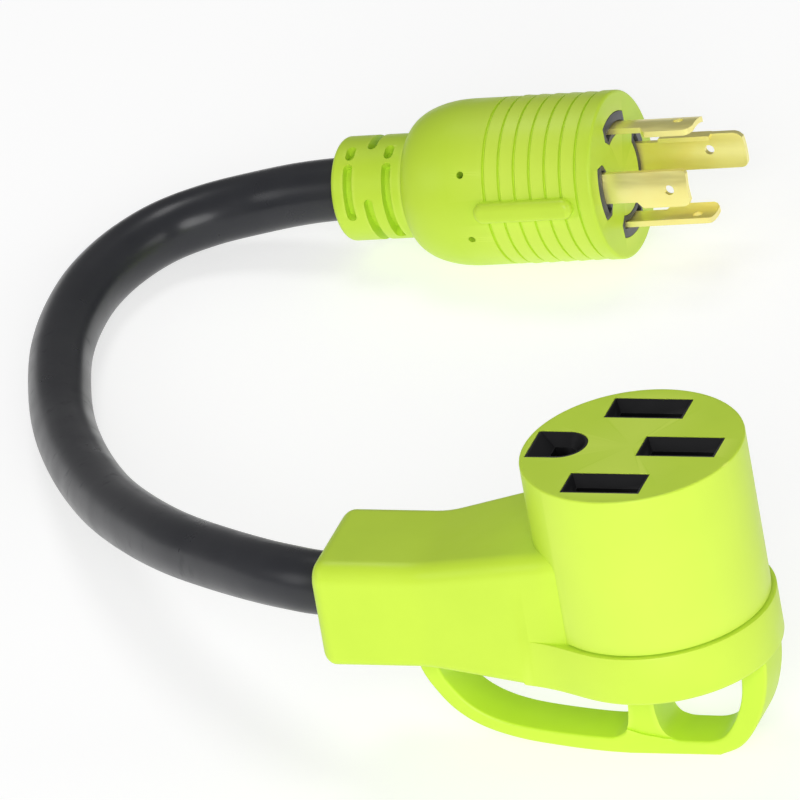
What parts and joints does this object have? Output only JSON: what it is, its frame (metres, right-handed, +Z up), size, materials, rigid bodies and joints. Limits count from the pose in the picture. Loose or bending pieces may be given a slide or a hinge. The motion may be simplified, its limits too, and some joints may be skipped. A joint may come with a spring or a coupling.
{
  "type": "power adapter cord",
  "caption": "Short adapter cord with a round locking plug and a right-angle round socket with a pull handle, both lime, on a charcoal cable.",
  "frame": {"origin": "on the surface that the pull handle rests on, under the axis of the socket's head", "axes": "+X from the socket's arm towards its head, +Z up out of the socket's face; the plug lies behind, towards +Y, with its blades pointing nearly along +X"},
  "size_m": [0.288, 0.3249, 0.0937],
  "materials": {
    "lime_moulding": "smooth satin moulded PVC, bright lime",
    "black_insulator": "near-black moulded thermoplastic",
    "slate_insulator": "dark slate-grey moulded thermoplastic",
    "board_black": "plain dark moulded plastic, not seen",
    "cable_jacket": "charcoal PVC jacket with a soft sheen",
    "brass": "bright rolled brass",
    "crimp_metal": "copper-coloured crimp, not seen",
    "wire_hot_x": "black core insulation, not seen",
    "wire_hot_y": "red core insulation, not seen",
    "wire_neutral": "white core insulation, not seen",
    "wire_ground": "green core insulation, not seen"
  },
  "bodies": {
    "root": {"socket_overmould": "lime_moulding", "socket_core": "black_insulator", "core_rear_cover": "board_black", "contact_hot_x": "brass", "contact_hot_y": "brass", "contact_neutral": "brass", "contact_ground": "brass", "socket_crimp_hot_x": "crimp_metal", "socket_crimp_hot_y": "crimp_metal", "socket_crimp_neutral": "crimp_metal", "socket_crimp_ground": "crimp_metal", "socket_wire_hot_x": "wire_hot_x", "socket_wire_hot_y": "wire_hot_y", "socket_wire_neutral": "wire_neutral", "socket_wire_ground": "wire_ground", "cable_jacket": "cable_jacket", "plug_strain_relief": "lime_moulding", "plug_overmould": "lime_moulding", "blade_carrier": "slate_insulator", "carrier_rear_plate": "board_black", "blade_hot_x": "brass", "blade_hot_y": "brass", "blade_neutral": "brass", "blade_ground": "brass", "plug_crimp_hot_x": "crimp_metal", "plug_crimp_hot_y": "crimp_metal", "plug_crimp_neutral": "crimp_metal", "plug_crimp_ground": "crimp_metal", "plug_wire_hot_x": "wire_hot_x", "plug_wire_hot_y": "wire_hot_y", "plug_wire_neutral": "wire_neutral", "plug_wire_ground": "wire_ground"}
  },
  "joints": []
}
